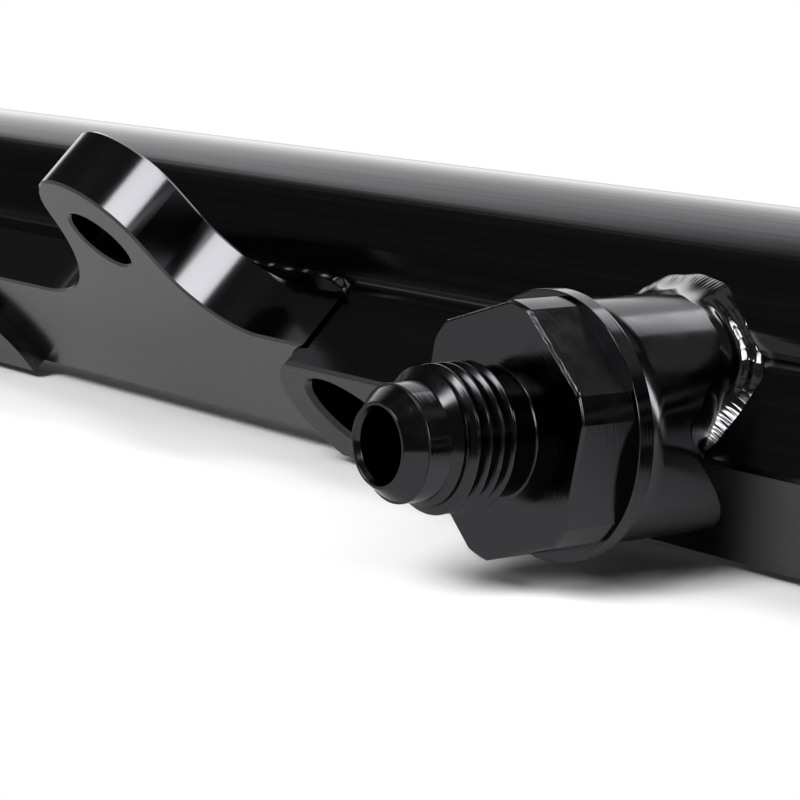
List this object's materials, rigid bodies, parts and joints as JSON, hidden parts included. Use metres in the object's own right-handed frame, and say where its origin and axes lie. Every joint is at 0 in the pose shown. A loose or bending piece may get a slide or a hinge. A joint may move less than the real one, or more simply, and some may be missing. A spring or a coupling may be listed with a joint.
{
  "type": "fuel rail",
  "caption": "Black anodised aluminium fuel rail with a round gallery, injector pockets, welded bracket arms and an angled inlet bung holding a flared hose adapter.",
  "frame": {"origin": "midway between the two bracket bolt holes, on the underside of the bracket arms", "axes": "+X along the rail, +Z away from the injectors, bracket arms and inlet towards -Y"},
  "size_m": [0.3542, 0.0479, 0.0568],
  "materials": {
    "rail_aluminium": "black anodised, extruded and machined",
    "bracket_aluminium": "black anodised, milled",
    "fitting_aluminium": "black anodised, turned bright",
    "seal_rubber": "moulded"
  },
  "bodies": {
    "root": {"rail_body": "rail_aluminium", "bracket_left": "bracket_aluminium", "bracket_right": "bracket_aluminium", "bracket_left_weld": "rail_aluminium", "bracket_right_weld": "rail_aluminium", "inlet_bung": "fitting_aluminium", "inlet_bung_weld": "rail_aluminium", "inlet_adapter": "fitting_aluminium", "inlet_o_ring": "seal_rubber", "end_plug_left": "fitting_aluminium", "end_plug_right": "fitting_aluminium", "end_plug_left_o_ring": "seal_rubber", "end_plug_right_o_ring": "seal_rubber"}
  },
  "joints": []
}
